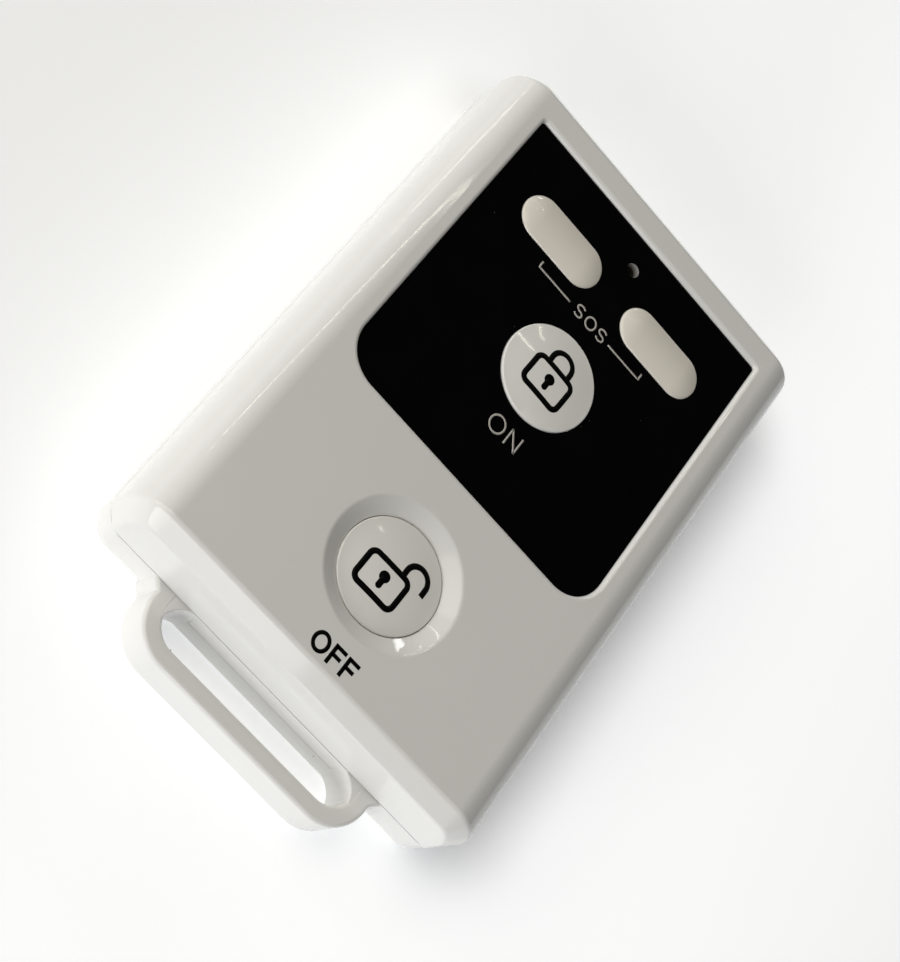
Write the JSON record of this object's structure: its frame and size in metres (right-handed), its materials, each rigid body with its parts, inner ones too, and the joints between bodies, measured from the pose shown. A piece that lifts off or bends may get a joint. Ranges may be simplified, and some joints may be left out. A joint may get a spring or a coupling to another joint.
{
  "type": "hand-held alarm remote control",
  "caption": "Slim pocket remote control for a home alarm: arm, disarm and panic buttons on a convex-sided case with a black panel, a status lamp and a strap loop",
  "frame": {"origin": "centre of the footprint of the whole part, strap loop included, on the surface it lies on", "axes": "+Z leaves the front face with the buttons, +Y runs along the case from the strap loop to the SOS end, +X is to the right when the lettering is read"},
  "size_m": [0.04, 0.0654, 0.0112],
  "materials": {
    "case_plastic": "warm white ABS, satin moulding with soft sheen",
    "panel_plastic": "glossy black acrylic",
    "button_plastic": "warm white polished ABS",
    "lamp_lens": "clear epoxy lamp, unlit",
    "board_laminate": "green glass-fibre laminate with solder mask",
    "switch_metal": "tin-plated steel",
    "black_plastic": "black moulding compound",
    "copper": "copper foil",
    "cell_steel": "nickel-plated steel",
    "screw_steel": "zinc-plated steel",
    "capacitor_ceramic": "tan ceramic"
  },
  "bodies": {
    "case": {"front_case": "case_plastic", "rear_case": "case_plastic", "overlay_panel": "panel_plastic", "status_led": "lamp_lens", "circuit_board": "board_laminate", "arm_switch": "switch_metal", "disarm_switch": "switch_metal", "sos_switch_left": "switch_metal", "sos_switch_right": "switch_metal", "code_chip": "black_plastic", "resonator": "switch_metal", "radio_transistor": "black_plastic", "antenna_trace": "copper", "coin_cell": "cell_steel", "cell_clip": "cell_steel", "cell_contact": "copper", "case_screws": "screw_steel", "code_resistor": "black_plastic", "bias_resistor": "black_plastic", "lamp_resistor": "black_plastic", "supply_capacitor": "capacitor_ceramic", "tuning_capacitor": "capacitor_ceramic"},
    "arm_key": {"arm_button": "button_plastic", "arm_plunger": "black_plastic"},
    "disarm_key": {"disarm_button": "button_plastic", "disarm_plunger": "black_plastic"},
    "sos_key_left": {"sos_button_left": "button_plastic", "sos_plunger_left": "black_plastic"},
    "sos_key_right": {"sos_button_right": "button_plastic", "sos_plunger_right": "black_plastic"}
  },
  "joints": [
    {"name": "arm_press", "type": "slide", "parent": "case", "child": "arm_key", "axis": [0, 0, -1], "range_m": [0, 0.0003], "stiffness_N_per_m": 2000},
    {"name": "disarm_press", "type": "slide", "parent": "case", "child": "disarm_key", "axis": [0, 0, -1], "range_m": [0, 0.0003], "stiffness_N_per_m": 2000},
    {"name": "sos_left_press", "type": "slide", "parent": "case", "child": "sos_key_left", "axis": [0, 0, -1], "range_m": [0, 0.0003], "stiffness_N_per_m": 2000},
    {"name": "sos_right_press", "type": "slide", "parent": "case", "child": "sos_key_right", "axis": [0, 0, -1], "range_m": [0, 0.0003], "stiffness_N_per_m": 2000}
  ]
}
